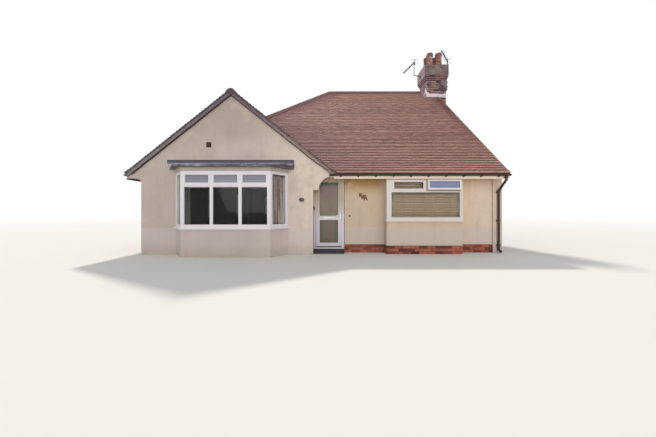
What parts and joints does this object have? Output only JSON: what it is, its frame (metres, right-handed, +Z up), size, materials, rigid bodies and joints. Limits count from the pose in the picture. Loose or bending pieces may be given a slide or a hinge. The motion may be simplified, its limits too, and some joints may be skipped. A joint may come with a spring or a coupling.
{
  "type": "semi-detached bungalow",
  "caption": "Rendered bungalow with a gabled front wing, canted bay, recessed front door, box window, hipped tile roof and shared chimney, ended at a plain party wall.",
  "frame": {"origin": "ground level in the middle of the main block, on the underside of the floor slab", "axes": "+X along the front to the party wall, +Y from the front into the house, +Z up"},
  "size_m": [11.2948, 11.888, 8.38],
  "materials": {
    "render": "rough painted render",
    "party_brick": "rough brick and mortar",
    "chimney_brick": "weathered brick",
    "terracotta": "unglazed terracotta",
    "lead": "dull weathered lead",
    "roof_tile": "unglazed clay tile",
    "ridge_tile": "weathered clay and mortar",
    "cream_paint": "painted boards",
    "black_plastic": "black plastic",
    "white_plastic": "white plastic",
    "clear_glass": "clear sealed units",
    "obscure_glass": "patterned obscure glass",
    "concrete": "cast concrete",
    "plaster": "painted plaster",
    "handle_metal": "white coated metal",
    "bronze": "rusty bronze finish",
    "dark_trim": "dark plastic",
    "aerial_metal": "dull aluminium"
  },
  "bodies": {
    "house": {"floor_slab": "concrete", "ceiling": "plaster", "gable_wall": "render", "wing_return_wall": "render", "front_wall_middle": "render", "front_wall_right": "render", "front_wall_top": "render", "left_side_wall": "render", "rear_wall": "render", "party_wall": "party_brick", "chimney_breast": "party_brick", "chimney_shaft": "chimney_brick", "chimney_head": "chimney_brick", "chimney_pots": "terracotta", "chimney_flashing": "lead", "roof_front_slope": "roof_tile", "roof_rear_slope": "roof_tile", "roof_hip_end": "roof_tile", "wing_left_slope": "roof_tile", "wing_right_slope": "roof_tile", "ridge_tiles": "ridge_tile", "hip_tiles": "ridge_tile", "wing_ridge_tiles": "ridge_tile", "gable_verge": "ridge_tile", "front_eaves": "cream_paint", "side_eaves": "cream_paint", "rear_eaves": "cream_paint", "front_gutter": "black_plastic", "side_gutter": "black_plastic", "rear_gutter": "black_plastic", "front_downpipe": "black_plastic", "rear_downpipe": "black_plastic", "bay_wall": "render", "bay_window_frame": "white_plastic", "bay_window_glass": "clear_glass", "bay_head": "cream_paint", "bay_roof": "lead", "box_window_wall": "render", "box_window_frame": "white_plastic", "box_window_glass": "clear_glass", "box_window_vent": "white_plastic", "door_frame": "white_plastic", "door_step": "concrete", "back_door": "white_plastic", "rear_window_frames": "white_plastic", "rear_window_glass": "clear_glass", "side_window_frames": "white_plastic", "side_window_glass": "clear_glass", "air_vent": "black_plastic", "wall_plaque": "dark_trim", "wall_ornament": "bronze", "doorbell": "dark_trim", "tv_aerials": "aerial_metal"},
    "front_door": {"front_door": "white_plastic", "front_door_glass": "obscure_glass", "front_door_handle": "handle_metal"}
  },
  "joints": [
    {"name": "front_door_hinge", "type": "hinge", "parent": "house", "child": "front_door", "pos_m": [-0.2855, -5.099, 1.1], "axis": [0, 0, 1], "range_deg": [0, 90]}
  ]
}
